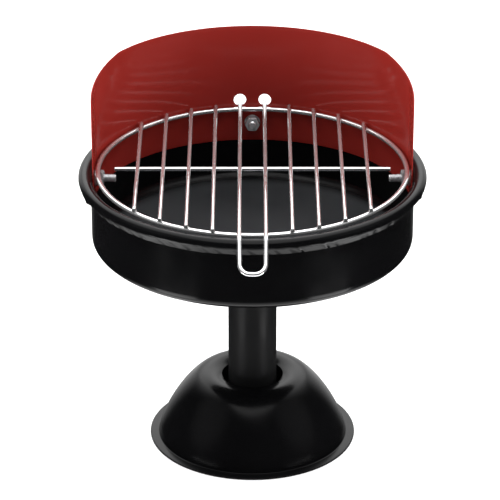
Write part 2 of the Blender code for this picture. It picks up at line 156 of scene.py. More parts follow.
RING_HEIGHT = WELD_HEIGHT - GAP - RING_WIRE_RADIUS
CROSSBAR_HEIGHT = WELD_HEIGHT - GAP - CROSSBAR_RADIUS
BAR_HEIGHT = WELD_HEIGHT + BAR_RADIUS

# Spot welds: width and height as shares of the upper wire's radius, length of the lower wire's
RING_WELD = (1.3, 0.95, 0.7)
CROSSBAR_WELD = (1.15, 0.95, 0.5)
WELD_SEED = 11
WELD_SUBDIVISIONS = 3
LUMP_HEIGHT = 0.16
LUMP_SCALE = 1.8
LUMP_SPREAD = 50

# Foot and tube
FOOT_RADIUS = (FOOT_HIGH.x - FOOT_LOW.x) / 2
FOOT_EDGE = 0.0016
DOME_ROOT_RADIUS = 0.0701
DOME_TOP_RADIUS = 0.0391
DOME_TOP_HEIGHT = 0.0496
DOME_POWER = 1.32
DOME_START = radians(5.5)
CREST_ROLL_RADIUS = 0.0175
CREST_ROLL_CENTRE = (0.0321, 0.0336)
CREST_ROLL_START = radians(122)
CREST_ROLL_END = radians(63)
CREST_ROLL_STEPS = 18
SOCKET_RADIUS = 0.0186
SOCKET_FLOOR = 0.0360
SOCKET_BEND = 0.0010
ROOT_BEND = 0.0009
DOME_STEPS = 44
FOOT_BEND_STEPS = 6
FOOT_EDGE_STEPS = 10
FOOT_SEGMENTS = 240
TUBE_RADIUS = (TUBE_HIGH.x - TUBE_LOW.x) / 2
TUBE_WALL = 0.0009
TUBE_ROLL = 0.0014
TUBE_ROLL_STEPS = 8
TUBE_SEGMENTS = 128

# Fasteners, all M6 with a 1 mm pitch
PITCH = 0.001
THREAD_DEPTH = 0.00055
BOLT_RADIUS = 0.003
BOLT_CHAMFER = 0.0006
ROWS_PER_PITCH = 8
BOLT_SEGMENTS = 40
BOLT_SHARP = radians(50)
HEAD_RADIUS = 0.006
HEAD_HEIGHT = 0.0028
HEAD_STEPS = 14
SLOT_WIDTH = 0.0012
SLOT_DEPTH = 0.0012
BOLT_HEIGHT = 0.2038
BORE_RADIUS = BOLT_RADIUS - THREAD_DEPTH * 0.1
NUT_ACROSS_FLATS = 0.010
NUT_THICKNESS = 0.0048
NUT_FACE = 0.95
NUT_CHAMFER = radians(30)
NUT_CHAMFER_STEPS = 6
NUT_SINK = 0.0005
NUT_SEGMENTS = 96
NUT_SHARP = radians(24)
WASHER_SEAT = 0.1147
WASHER_RADIUS = 0.006
WASHER_THICKNESS = 0.0012
WASHER_ROUND = 0.00025
WASHER_ROUND_STEPS = 3
WASHER_SEGMENTS = 72
ROD_THREAD = 0.016
SIDES = ("rear", "left", "right")

# Wing nut
HUB_RADIUS = 0.0055
HUB_HEIGHT = 0.0065
HUB_FLARE = 0.001
HUB_BENDS = (0.0008, 0.0003)
HUB_BEND_STEPS = 5
HUB_SEGMENTS = 72
HUB_SHARP = radians(35)
WING_RADIUS = 0.0055
WING_STRETCH = 1.33
WING_THICKNESS = 0.0020
WING_LEAN = radians(25)
WING_INSET = 0.0004
WING_DROP = 0.0075
WING_EDGE_STEPS = 8
WING_SEGMENTS = 48

# Camera and studio
CAMERA_PLACE = (-0.0018, -1.89125, 1.0469)
CAMERA_TILT = radians(64.75)
CAMERA_LENS = 206.6
CAMERA_REACH = 50
FLOOR_SIZE = 12.0
FLOOR_CELLS = 8
FLOOR_GLOW = 0.35
MIDDLE = (0, AXIS_Y, 0.18)
# name, place, what it points at, size, power
SOFTBOXES = (
    ("left_box", (-1.5, -0.4, 0.8), MIDDLE, (0.8, 1.2), 14),
    ("right_box", (1.5, -0.4, 0.8), MIDDLE, (0.8, 1.2), 14),
    ("front_fill", (0, -2.2, 1.5), MIDDLE, (1.0, 0.6), 1.0),
)
# direction, where the light starts and is full (as the cosine of the angle from it), level
WORLD_ZONES = (
    ((0, 0.50, 0.866), 0.545, 0.866, 3.0),
    ((0, -0.18, 0.984), 0.839, 0.906, 3.0),
    ((0, 0.94, 0.34), 0.62, 0.88, 1.15),
    ((0, 0, -1), 0.62, 0.92, 2.2),
    ((-0.80, -0.25, 0.55), 0.86, 0.98, 0.4),
    ((0.80, -0.25, 0.55), 0.86, 0.98, 0.4),
)
WORLD_DARK = 0.02
BACKDROP = (0.95, 0.95, 0.95, 1)
CARD_ANGLE = radians(50)
CARD_HALF_WIDTH = radians(14)
CARD_NEAR = 0.21
CARD_FAR = 0.36
CARD_HEIGHT = 0.0015
CARD_GLOW = 6.0

# Enamel: each colour and its deeper shade, and painted light on the bowl's floor, a lighter grey for the
# overhead light on its upward faces, with the heights over the floor where it ends and is full
RED = (0.35, 0.028, 0.022)
DEEP_RED = (0.32, 0.025, 0.019)
BLACK = (0.0032, 0.0032, 0.0036)
DEEP_BLACK = (0.0024, 0.0024, 0.0027)
SATIN = (0.014, 0.014, 0.0144)
DEEP_SATIN = (0.011, 0.011, 0.0114)
# Painted light: the floor's lighter grey, standing in for the overhead light that falls on it
PAINTED_FLOOR_LIGHT = (0.044, 0.047, 0.050)
DEEP_PAINTED_FLOOR_LIGHT = (0.034, 0.037, 0.040)
PAINTED_LIGHT_END = 0.0095
PAINTED_LIGHT_FULL = 0.0060


# ---------------- outlines


def arc(centre, radius, start, end, steps):
    """Points on a circle from one angle to another, both ends included."""
    turn = (end - start) / steps
    return [
        (centre[0] + radius * cos(start + turn * i), centre[1] + radius * sin(start + turn * i))
        for i in range(steps + 1)
    ]


def offset_path(path, distance):
    """The path moved sideways by the distance, to its left, with mitred corners."""
    points = [Vector(point) for point in path]
    directions = [(after - before).normalized() for before, after in zip(points, points[1:])]
    moved = []
    for index, point in enumerate(points):
        first = directions[max(index - 1, 0)]
        second = directions[min(index, len(directions) - 1)]
        normal = Vector((-first.y - second.y, first.x + second.x)).normalized()
        reach = distance / normal.dot(Vector((-first.y, first.x)))
        moved.append(tuple(point + normal * reach))
    return moved


def bend_corner(before, corner, after, radius, steps):
    """An arc of the radius in place of one corner, in two or three dimensions."""
    back = (before - corner).normalized()
    onward = (after - corner).normalized()
    half_angle = back.angle(onward) / 2
    middle = corner + (back + onward).normalized() * (radius / sin(half_angle))
    start = (corner + back * (radius / tan(half_angle)) - middle).normalized()
    end = (corner + onward * (radius / tan(half_angle)) - middle).normalized()
    sweep = start.angle(end)
    points = []
    for i in range(steps + 1):
        share = i / steps
        blend = start * sin((1 - share) * sweep) + end * sin(share * sweep)
        points.append(middle + blend.normalized() * radius)
    return points


def bent_path(corners, radii, steps):
    """A path along straight runs whose inner corners are bent, each to its own radius."""
    points = [Vector(corner) for corner in corners]
    path = [points[0]]
    for before, corner, after, radius in zip(points, points[1:], points[2:], radii):
        path += bend_corner(before, corner, after, radius, steps)
    return path + [points[-1]]


def straight_path(start, end, steps):
    """Even points along a straight run, both ends included."""
    return [Vector(start).lerp(Vector(end), i / steps) for i in range(steps + 1)]


def super_corner(centre, width, height, power, steps, start=0.0):
    """A superellipse from the start angle, 0 being straight above its centre, to straight beside it."""
    angles = [start + (pi / 2 - start) * i / steps for i in range(steps + 1)]
    return [
        (
            centre[0] + width * sin(angle) ** (2 / power),
            centre[1] + height * cos(angle) ** (2 / power),
        )
        for angle in angles
    ]


def round_edge(face_end, back_end):
    """A half round that joins the two faces of a sheet at its edge, without its two end points."""
    first = Vector(face_end)
    last = Vector(back_end)
    middle = (first + last) / 2
    radius = (first - middle).length
    start = (first - middle).normalized()
    side = Vector((start.y, -start.x))
    angles = [pi * i / EDGE_STEPS for i in range(1, EDGE_STEPS)]
    return [tuple(middle + (start * cos(angle) + side * sin(angle)) * radius) for angle in angles]


# ---------------- meshes


def mesh_from(name, points, faces, sharp=SHARP):
    """A mesh with its faces outward, its doubled points merged and its round faces smooth."""
    mesh = bpy.data.meshes.new(name)
    mesh.from_pydata([tuple(point) for point in points], [], faces)
    shape = bmesh.new()
    shape.from_mesh(mesh)
    bmesh.ops.remove_doubles(shape, verts=shape.verts, dist=MERGE_DISTANCE)
    bmesh.ops.recalc_face_normals(shape, faces=shape.faces)
    shape.to_mesh(mesh)
    shape.free()
    mesh.shade_smooth()
    mesh.set_sharp_from_angle(angle=sharp)
    return mesh


def turned(name, outline, segments, closed=True, shaping=None, sharp=SHARP):
    """An outline spun about Z; the shaping moves a point by its (radius, height, angle)."""
    points = []
    for i in range(segments):
        angle = 2 * pi * i / segments
        for radius, height in outline:
            if shaping:
                radius, height = shaping(radius, height, angle)
            points.append((radius * sin(angle), radius * cos(angle), height))
    count = len(outline)
    faces = []
    for i in range(segments):
        here = i * count
        there = (i + 1) % segments * count
        for j in range(count if closed else count - 1):
            k = (j + 1) % count
            face = [here + j, here + k, there + k, there + j]
            if outline[j][0] == 0:
                face.remove(there + j)
            elif outline[k][0] == 0:
                face.remove(there + k)
            if not outline[j][0] == outline[k][0] == 0:
                faces.append(face)
    return mesh_from(name, points, faces, sharp)


def tube_faces(rings, count, closed=False):
    """Faces between rings of count points each, closed in a loop or with a face over each end."""
    faces = []
    for i in range(rings if closed else rings - 1):
        here = i * count
        there = (i + 1) % rings * count
        for j in range(count):
            k = (j + 1) % count
            faces.append([here + j, here + k, there + k, there + j])
    if not closed:
        faces.append(list(range(count)))
        faces.append(list(range((rings - 1) * count, rings * count)))
    return faces


def swept(name, path, radius, closed=False, end_round=WIRE_END_ROUND):
    """A round wire along the path, its ends flat with a small round edge."""
    points = [Vector(point) for point in path]
    count = len(points)
    tangents = []
    for i in range(count):
        after = points[(i + 1) % count] if closed else points[min(i + 1, count - 1)]
        before = points[(i - 1) % count] if closed else points[max(i - 1, 0)]
        tangents.append((after - before).normalized())
    rings = []
    across = tangents[0].orthogonal().normalized()
    for point, tangent in zip(points, tangents):
        across = (across - tangent * across.dot(tangent)).normalized()
        rings.append((point, tangent, across, radius))
    if not closed:
        rings = wire_end(rings[0], -1, end_round)[::-1] + rings[1:-1] + wire_end(rings[-1], 1, end_round)
    verts = []
    for point, tangent, across, size in rings:
        other = tangent.cross(across)
        for i in range(WIRE_SIDES):
            angle = 2 * pi * i / WIRE_SIDES
            verts.append(point + (across * cos(angle) + other * sin(angle)) * size)
    return mesh_from(name, verts, tube_faces(len(rings), WIRE_SIDES, closed))


def wire_end(ring, side, end_round):
    """The rings of a wire's last stretch: full, then drawn in over its round edge, outermost last."""
    point, tangent, across, radius = ring
    rings = []
    for i in range(WIRE_END_STEPS + 1):
        angle = pi / 2 * i / WIRE_END_STEPS
        inward = end_round * (1 - sin(angle))
        size = radius - end_round * (1 - cos(angle))
        rings.append((point - tangent * side * inward, tangent, across, size))
    return rings


def add_object(name, data):
    """A new object, in the scene."""
    item = bpy.data.objects.new(name, data)
    bpy.context.scene.collection.objects.link(item)
    return item


def add_piece(name, mesh, material, body, node=None, place=UPRIGHT):
    """Add one piece in its material, parent it to the empty of the body it rides on, and hide the node it
    stands for.
    """
    piece = add_object(name, mesh)
    piece.matrix_world = place
    mesh.materials.clear()
    mesh.materials.append(material)
    bpy.context.view_layer.update()
    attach(piece, body)
    if node:
        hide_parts(node)


def combine(mesh, tool_mesh, operation, sharp=SHARP):
    """The mesh after an exact Boolean with another, both in the same coordinates."""
    part = add_object("boolean_part", mesh)
    tool = add_object("boolean_tool", tool_mesh)
    boolean = part.modifiers.new("boolean", "BOOLEAN")
    boolean.operation = operation
    boolean.solver = "EXACT"
    boolean.object = tool
    bpy.context.view_layer.update()
    result = bpy.data.meshes.new_from_object(part.evaluated_get(bpy.context.evaluated_depsgraph_get()))
    for item in (part, tool):
        bpy.data.objects.remove(item)
    result.name = mesh.name
    result.shade_smooth()
    result.set_sharp_from_angle(angle=sharp)
    return result


def free_mesh(name, shape):
    """A mesh from a bmesh, which is freed."""
    mesh = bpy.data.meshes.new(name)
    shape.to_mesh(mesh)
    shape.free()
    return mesh


def disc_tool(radius, depth, place):
    """A disc that cuts a round hole."""
    shape = bmesh.new()
    bmesh.ops.create_cone(
        shape,
        cap_ends=True,
        segments=TOOL_SEGMENTS,
        radius1=radius,
        radius2=radius,
        depth=depth,
        matrix=place,
    )
    return free_mesh("disc", shape)


def block_tool(size, place):
    """A block that cuts a slot."""
    shape = bmesh.new()
    bmesh.ops.create_cube(shape, size=1.0, matrix=place @ Matrix.Diagonal((*size, 1)))
    return free_mesh("block", shape)


def toward_axis(angle, radius, height):
    """A frame at this angle from the rear whose +Z points at the upright axis."""
    side = Vector((-sin(angle), cos(angle), 0))
    turn = (-side).to_track_quat("Z", "Y").to_matrix().to_4x4()
    return Matrix.Translation(side * radius + Vector((0, 0, height))) @ turn


# ---------------- materials


def add_node(owner, kind, settings=(), values=()):
    """A node of a material or the world, with its settings and its unlinked sockets' values."""
    node = owner.node_tree.nodes.new(kind)
    for key, value in dict(settings).items():
        setattr(node, key, value)
    for key, value in dict(values).items():
        node.inputs[key].default_value = value
    return node


def link(owner, source, output, target, socket):
    """Join a node's output to another node's socket."""
    owner.node_tree.links.new(source.outputs[output], target.inputs[socket])


def base_material(name, values=()):
    """A new material, its shader with the values that are the same all over, and its coordinates."""
    material = bpy.data.materials.new(name)
    material.use_nodes = True
    shader = material.node_tree.nodes["Principled BSDF"]
    for key, value in dict(values).items():
        shader.inputs[key].default_value = value
    place = add_node(material, "ShaderNodeTexCoord")
    return material, shader, place


def noise_node(material, place, scale, detail=2.0):
    """Noise in a piece's own coordinates."""
    texture = add_node(material, "ShaderNodeTexNoise", values={"Scale": scale, "Detail": detail})
    link(material, place, "Object", texture, "Vector")
    return texture


def ramp_node(material, source, output, stops):
    """A colour ramp between two (position, colour) stops, fed from the source."""
    ramp = add_node(material, "ShaderNodeValToRGB")
    for element, (position, colour) in zip(ramp.color_ramp.elements, stops):
        element.position = position
        element.color = (*colour, 1)
    link(material, source, output, ramp, "Fac")
    return ramp


def range_node(material, source, output, low, high, start=0.3, end=0.7):
    """The source's output from start to end, stretched from low to high."""
    limits = {"From Min": start, "From Max": end, "To Min": low, "To Max": high}
    node = add_node(material, "ShaderNodeMapRange", values=limits)
    link(material, source, output, node, "Value")
    return node


def tint(material, shader, source, stops, output="Fac", socket="Base Color"):
    """Colour the shader between two stops."""
    link(material, ramp_node(material, source, output, stops), "Color", shader, socket)


def roughen(material, shader, source, low, high):
    """Let the shader's roughness wander between two values."""
    link(material, range_node(material, source, "Fac", low, high), "Result", shader, "Roughness")


def bump(material, shader, source, strength, distance):
    """Raise the shader's surface by the source."""
    node = add_node(material, "ShaderNodeBump", values={"Strength": strength, "Distance": distance})
    link(material, source, "Fac", node, "Height")
    link(material, node, "Normal", shader, "Normal")


def enamel(name, colour, shade, roughness, coat=0.0):
    """Fired enamel: a faint cloudiness and an orange-peel skin."""
    values = {"Specular IOR Level": 0.12, "Coat Weight": coat, "Coat Roughness": 0.12}
    material, shader, place = base_material(name, values)
    cloud = noise_node(material, place, scale=14.0, detail=1.0)
    tint(material, shader, cloud, ((0.3, shade), (0.7, colour)))
    smear = noise_node(material, place, scale=45.0, detail=3.0)
    roughen(material, shader, smear, roughness * 0.8, roughness * 1.3)
    peel = noise_node(material, place, scale=260.0, detail=1.0)
    bump(material, shader, peel, strength=0.06, distance=0.00006)
    return material


def mix_over(material, shader, socket, kind, mask, source, output):
    """Where the mask is on, put the source in place of what feeds the shader's socket."""
    before = shader.inputs[socket].links[0]
    mix = add_node(material, "ShaderNodeMix", {"data_type": kind})
    link(material, mask, "Value", mix, "Factor")
    link(material, before.from_node, before.from_socket.name, mix, "A")
    link(material, source, output, mix, "B")
    link(material, mix, "Result", shader, socket)


def bowl_enamel(name):
    """Black enamel, with a duller finish on the bowl's inner floor and a lighter grey painted on its
    upward faces there, standing in for the overhead light that falls on them.
    """
    material = enamel(name, BLACK, DEEP_BLACK, 0.18)
    nodes = material.node_tree.nodes
    shader = nodes["Principled BSDF"]
    place = next(node for node in nodes if node.bl_idname == "ShaderNodeTexCoord")
    height = add_node(material, "ShaderNodeSeparateXYZ")
    link(material, place, "Object", height, "Vector")
    start = BOWL_FLOOR + PAINTED_LIGHT_END
    low = range_node(material, height, "Z", low=0.0, high=1.0, start=start, end=BOWL_FLOOR + PAINTED_LIGHT_FULL)
    low.interpolation_type = "SMOOTHSTEP"
    surface = add_node(material, "ShaderNodeNewGeometry")
    facing = add_node(material, "ShaderNodeSeparateXYZ")
    link(material, surface, "Normal", facing, "Vector")
    upward = range_node(material, facing, "Z", low=0.0, high=1.0, start=0.2, end=0.8)
    mask = add_node(material, "ShaderNodeMath", {"operation": "MULTIPLY"})
    link(material, low, "Result", mask, 0)
    link(material, upward, "Result", mask, 1)
    # Painted light: a lighter grey where the floor faces up, in place of the overhead light it gets; the
    # duller roughness is the enamel's own
    cloud = noise_node(material, place, scale=30.0, detail=5.0)
    painted_light = ramp_node(material, cloud, "Fac", ((0.3, DEEP_PAINTED_FLOOR_LIGHT), (0.7, PAINTED_FLOOR_LIGHT)))
    mix_over(material, shader, "Base Color", "RGBA", mask, painted_light, "Color")
    dull = range_node(material, cloud, "Fac", low=0.42, high=0.52)
    mix_over(material, shader, "Roughness", "FLOAT", mask, dull, "Result")
    return material


def bright_wire(name):
    """Plated wire: a soft bright metal, with faint cloudy plating and a slight ripple."""
    material, shader, place = base_material(name, {"Metallic": 0.84})
    cloud = noise_node(material, place, scale=60.0, detail=4.0)
    tint(material, shader, cloud, ((0.3, (0.88, 0.88, 0.89)), (0.7, (0.96, 0.96, 0.96))))
    smear = noise_node(material, place, scale=220.0, detail=3.0)
    roughen(material, shader, smear, 0.08, 0.16)
    ripple = noise_node(material, place, scale=120.0, detail=1.0)
    bump(material, shader, ripple, strength=0.08, distance=0.0002)
    return material


def weld_metal(name):
    """The duller, lightly burnt plating over a spot weld."""
    material, shader, place = base_material(name, {"Metallic": 1.0})
    burn = noise_node(material, place, scale=900.0, detail=3.0)
    tint(material, shader, burn, ((0.25, (0.42, 0.38, 0.34)), (0.6, (0.80, 0.79, 0.78))))
    roughen(material, shader, burn, 0.16, 0.34)
    bump(material, shader, burn, strength=0.35, distance=0.0002)
    return material


def zinc(name):
    """Zinc plate: soft, a little grey, with a fine crystalline mottle."""
    material, shader, place = base_material(name, {"Metallic": 0.6})
    crystals = add_node(material, "ShaderNodeTexVoronoi", values={"Scale": 900.0})
    link(material, place, "Object", crystals, "Vector")
    stops = ((0.0, (0.76, 0.77, 0.78)), (0.8, (0.62, 0.63, 0.65)))
    tint(material, shader, crystals, stops, output="Distance")
    smear = noise_node(material, place, scale=300.0, detail=3.0)
    roughen(material, shader, smear, 0.14, 0.22)
    bump(material, shader, smear, strength=0.12, distance=0.00008)
    return material


def pale_floor(name):
    """A near-white floor that glows a little, so that it reads as plain white."""
    glow = {"Specular IOR Level": 0.2, "Emission Strength": FLOOR_GLOW, "Emission Color": (1, 1, 1, 1)}
    material, shader, place = base_material(name, glow)
    cloud = noise_node(material, place, scale=1.5)
    tint(material, shader, cloud, ((0.3, (0.86, 0.86, 0.86)), (0.7, (0.90, 0.90, 0.90))))
    roughen(material, shader, cloud, 0.6, 0.7)
    return material


# ---------------- bowl


def pleat_table(segments):
    """How far the skirt is pushed in or out at each angle: uneven folds, each steep on one side."""
    draw = random.Random(PLEAT_SEED)
    table = [0.0] * segments
    centre = 0.0
    for _ in range(PLEATS):
        centre += 2 * pi / PLEATS
        middle = centre + draw.uniform(-PLEAT_SPREAD, PLEAT_SPREAD) * 2 * pi / PLEATS
        half_width = radians(draw.uniform(*PLEAT_HALF_WIDTHS))
        depth = draw.choice((-1, -1, 1)) * draw.uniform(PLEAT_SHALLOWEST, 1.0) * PLEAT_DEPTH
        for i in range(segments):
            away = (2 * pi * i / segments - middle + pi) % (2 * pi) - pi
            reach = half_width if away > 0 else half_width * PLEAT_STEEP
            if abs(away) < PLEAT_TAIL * reach:
                table[i] += depth * exp(-((away / reach) ** 2))
    return table


def fire_bowl(material):
    """Drawn sheet: flat floor, round corner, upright wall, rolled rim bead and a crimped skirt."""
    floor_radii = (BOLT_HOLE_RADIUS, FLOOR_RADIUS / 3, FLOOR_RADIUS * 2 / 3)
    corner = super_corner(
        (FLOOR_RADIUS, BOWL_FLOOR + CORNER_RISE),
        BOWL_RADIUS - FLOOR_RADIUS,
        -CORNER_RISE,
        CORNER_POWER,
        CORNER_STEPS,
    )
    lower_face = [(radius, BOWL_FLOOR) for radius in floor_radii] + corner
    upper_face = offset_path(lower_face, SHEET)
    bead = arc(BEAD_CENTRE, BEAD_RADIUS, BEAD_START, BEAD_END, BEAD_STEPS)
    wall_top = (BOWL_RADIUS - SHEET, bead[0][1] - SHEET)
    shoulder = bent_path((upper_face[-1], wall_top, bead[0], bead[1]), SHOULDER_BENDS, SHOULDER_STEPS)
    skirt = straight_path(bead[-1], SKIRT_FOOT, SKIRT_STEPS)[1:]
    rim = shoulder[1:-2] + bead[1:] + skirt
    back = offset_path(rim, -SHEET)[::-1]
    outline = upper_face + rim + round_edge(rim[-1], back[0]) + back + lower_face[::-1]
    table = pleat_table(BOWL_SEGMENTS)

    def crimp(radius, height, angle):
        """Pleat the skirt, more and more from the bead to the hem."""
        if radius < BOWL_RADIUS + 2 * SHEET or height > BEAD_CENTRE[1]:
            return radius, height
        down = (BEAD_CENTRE[1] - height) / (BEAD_CENTRE[1] - SKIRT_FOOT[1])
        slot = (angle + PLEAT_SLANT * down) / (2 * pi) * BOWL_SEGMENTS
        first = int(slot) % BOWL_SEGMENTS
        share = slot - int(slot)
        push = table[first] * (1 - share) + table[(first + 1) % BOWL_SEGMENTS] * share
        spot = (HEM_NOISE_RADIUS * sin(angle), HEM_NOISE_RADIUS * cos(angle), HEM_NOISE_HEIGHT)
        wander = noise.noise(Vector(spot)) * HEM_WANDER
        return radius + push * down**PLEAT_GROWTH, height + (wander + push * PLEAT_LIFT) * down**2

    bowl = turned("bowl_shell", outline, BOWL_SEGMENTS, shaping=crimp)
    add_piece("bowl_shell", bowl, material, "stand", "fire_bowl")


# ---------------- shield


def shield_top(angle):
    """The height of the shield's top edge: level, then falling towards the ends, with a round corner."""
    past_level = max(abs(angle) - SHIELD_LEVEL_ANGLE, 0)
    from_end = (SHIELD_HALF_ANGLE - abs(angle)) * SHIELD_RADIUS
    into_corner = max(SHIELD_CORNER - from_end, 0)
    corner_drop = SHIELD_CORNER - sqrt(max(SHIELD_CORNER**2 - into_corner**2, 0))
    return SHIELD_HIGH.z - SHIELD_SLOPE * past_level - corner_drop


def shield_angles():
    """Even steps along the shield, finer in its round corners and at its two edges."""
    corner = SHIELD_CORNER / SHIELD_RADIUS
    last = SHIELD_HALF_ANGLE - corner
    even = [-last + 2 * last * i / SHIELD_COLUMNS for i in range(SHIELD_COLUMNS + 1)]
    shares = [i / SHIELD_CORNER_STEPS for i in range(1, SHIELD_CORNER_STEPS + 1)]
    fine = [last + corner * sin(pi / 2 * share) for share in shares]
    return [-angle for angle in reversed(fine)] + even + fine


def shield_section(angle):
    """The strip's outline at one angle from the rear: inner face, top edge, outer face, lower edge."""
    half = SHIELD_THICKNESS / 2
    from_end = (SHIELD_HALF_ANGLE - abs(angle)) * SHIELD_RADIUS
    thin = sqrt(max(1 - max(1 - from_end / half, 0) ** 2, 0))
    edge = max(half * thin, SHIELD_THINNEST)
    foot = SHIELD_LOW.z + half
    top = shield_top(angle) - half
    turns = [pi * i / SHIELD_EDGE_STEPS for i in range(1, SHIELD_EDGE_STEPS)]
    rises = [foot + (top - foot) * i / SHIELD_ROWS for i in range(SHIELD_ROWS + 1)]
    inner = [(SHIELD_RADIUS - edge, height) for height in rises]
    over = [(SHIELD_RADIUS - edge * cos(turn), top + half * sin(turn)) for turn in turns]
    outer = [(2 * SHIELD_RADIUS - radius, height) for radius, height in reversed(inner)]
    under = [(SHIELD_RADIUS + edge * cos(turn), foot - half * sin(turn)) for turn in turns]
    return inner + over + outer + under


def wind_shield(material):
    """A curved strip with round edges, two holes for the handle's tips and three for its bolts."""
    points = []
    angles = shield_angles()
    for angle in angles:
        for radius, height in shield_section(angle):
            points.append((-radius * sin(angle), radius * cos(angle), height))
    faces = tube_faces(len(angles), len(points) // len(angles))
    shield = mesh_from("shield_sheet", points, faces)
    holes = []
    for side in (-1, 1):
        place = Matrix.Translation((side * WIRE_HOLE_X, SHIELD_RADIUS, WIRE_HOLE_HEIGHT))
        holes.append((WIRE_HOLE_RADIUS, WIRE_HOLE_TOOL, place @ Matrix.Rotation(pi / 2, 4, "X")))
    for side in SIDES:
        place = toward_axis(bolt_angle(side), SHIELD_RADIUS, BOLT_HEIGHT)
        holes.append((BOLT_HOLE_RADIUS, BOLT_HOLE_TOOL, place))
    for hole in holes:
        shield = combine(shield, disc_tool(*hole), "DIFFERENCE")
    add_piece("shield_sheet", shield, material, "stand", "wind_shield")


# ---------------- foot and tube


def base_dome(material):
    """A spun dome: socket, rolled crest, bellied side, flat flange and a round outer edge."""
    roll = arc(CREST_ROLL_CENTRE, CREST_ROLL_RADIUS, CREST_ROLL_START, CREST_ROLL_END, CREST_ROLL_STEPS)
    socket_corners = ((BOLT_HOLE_RADIUS, SOCKET_FLOOR), (SOCKET_RADIUS, SOCKET_FLOOR), roll[0])
    socket = bent_path(socket_corners, (SOCKET_BEND,), FOOT_BEND_STEPS)
    dome = super_corner(
        (DOME_TOP_RADIUS, FOOT_EDGE),
        DOME_ROOT_RADIUS - DOME_TOP_RADIUS,
        DOME_TOP_HEIGHT - FOOT_EDGE,
        DOME_POWER,
        DOME_STEPS,
        DOME_START,
    )
    edge_radius = FOOT_EDGE / 2
    edge = arc((FOOT_RADIUS - edge_radius, edge_radius), edge_radius, pi / 2, -pi / 2, FOOT_EDGE_STEPS)
    root = bent_path((dome[-2], dome[-1], edge[0]), (ROOT_BEND,), FOOT_BEND_STEPS)
    top = socket[:-1] + roll[:-1] + dome[:-2] + root[1:-1]
    hem = [(DOME_ROOT_RADIUS - SHEET, 0.0)]
    inner = [point for point in offset_path(top, -SHEET) if point[1] > SHEET][::-1]
    foot = turned("foot_shell", top + edge + hem + inner, FOOT_SEGMENTS)
    add_piece("foot_shell", foot, material, "stand", "base_dome")


def pedestal_tube(material):
    """A tube whose top edge is rolled in under the bowl."""
    corners = (
        (TUBE_RADIUS, TUBE_LOW.z),
        (TUBE_RADIUS, TUBE_HIGH.z),
        (TUBE_RADIUS - 2 * TUBE_ROLL, TUBE_HIGH.z),
    )
    face = bent_path(corners, (TUBE_ROLL,), TUBE_ROLL_STEPS)
    back = offset_path(face, TUBE_WALL)[::-1]
    outline = face + round_edge(face[-1], back[0]) + back
    tube = turned("pedestal_column", outline, TUBE_SEGMENTS)
    add_piece("pedestal_column", tube, material, "stand", "pedestal_tube")


# ---------------- fasteners


def bolt_angle(side):
    """The angle from the rear of one shield bolt, read from where its washer lies."""
    low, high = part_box(f"{side}_washer")
    middle = (low + high) / 2
    return Vector((0, 1)).angle_signed(Vector((middle.x, middle.y - AXIS_Y))) * -1


def thread_wave(height, angle):
    """0 at the root and 1 at the crest of a right-handed V thread."""
    phase = (height / PITCH - angle / (2 * pi)) % 1
    return 1 - abs(2 * phase - 1)


def threaded_rod(name, stretches, head=()):
    """A rod along Z: stretches of (start, end, threaded), chamfered at its free ends."""
    low = stretches[0][0]
    high = stretches[-1][1]
    rows = []
    for start, end, threaded in stretches:
        steps = round((end - start) / PITCH * ROWS_PER_PITCH) if threaded else 1
        rows += [(start + (end - start) * i / steps, threaded) for i in range(steps + 1)]
    if head:
        rows = [row for row in rows if row[0] > low]
    threaded_at = {round(height, 7): threaded for height, threaded in rows}

    def cut(radius, height, angle):
        """Cut the thread into the shank's threaded rows."""
        on_shank = abs(radius - BOLT_RADIUS) <= TINY
        if not on_shank or not threaded_at.get(round(height, 7)):
            return radius, height
        return radius - THREAD_DEPTH * (1 - thread_wave(height, angle)), height

    shank = [(BOLT_RADIUS, height) for height, _ in rows if height <= high - BOLT_CHAMFER]
    tip = [(BOLT_RADIUS - BOLT_CHAMFER, high), (0.0, high)]
    if head:
        outline = head + shank + tip
    else:
        shank = [point for point in shank if point[1] >= low + BOLT_CHAMFER]
        outline = [(0.0, low), (BOLT_RADIUS - BOLT_CHAMFER, low)] + shank + tip
    return turned(name, outline, BOLT_SEGMENTS, closed=False, shaping=cut, sharp=BOLT_SHARP)


def bolt_mesh(name, length):
    """A domed, slotted head whose seat is at height 0, and a threaded shank."""
    angles = [pi / 2 * i / HEAD_STEPS for i in range(HEAD_STEPS + 1)]
    head = [(HEAD_RADIUS * sin(angle), -HEAD_HEIGHT * cos(angle)) for angle in angles]
    bolt = threaded_rod(name, [(0.0, length, True)], head)
    size = (3 * HEAD_RADIUS, SLOT_WIDTH, 2 * SLOT_DEPTH)
    slot = block_tool(size, Matrix.Translation((0, 0, -HEAD_HEIGHT)))
    return combine(bolt, slot, "DIFFERENCE", BOLT_SHARP)


def nut_mesh(name, thickness):
    """A hexagon nut, both faces chamfered at thirty degrees, with a countersunk bore."""
    flat = NUT_ACROSS_FLATS / 2
    face = flat * NUT_FACE
    corner = flat / cos(pi / 6)
    slope = tan(NUT_CHAMFER)
    drop = (corner - face) * slope
    levels = [drop * i / NUT_CHAMFER_STEPS for i in range(NUT_CHAMFER_STEPS + 1)]
    heights = levels + [thickness - level for level in reversed(levels)]
    side = [(corner, height) for height in heights]
    sunk = BORE_RADIUS + NUT_SINK
    bore = [(sunk, thickness), (BORE_RADIUS, thickness - NUT_SINK), (BORE_RADIUS, NUT_SINK), (sunk, 0.0)]
    outline = [(face, 0.0)] + side[1:-1] + [(face, thickness)] + bore

    def hexagon(radius, height, angle):
        """Bring the outer points in to the six flats and to the chamfer cone of the nearer face."""
        if radius < corner - TINY:
            return radius, height
        turn = (angle + pi / 6) % (pi / 3) - pi / 6
        cone = face + min(height, thickness - height) / slope
        return min(flat / cos(turn), cone), height

    return turned(name, outline, NUT_SEGMENTS, shaping=hexagon, sharp=NUT_SHARP)


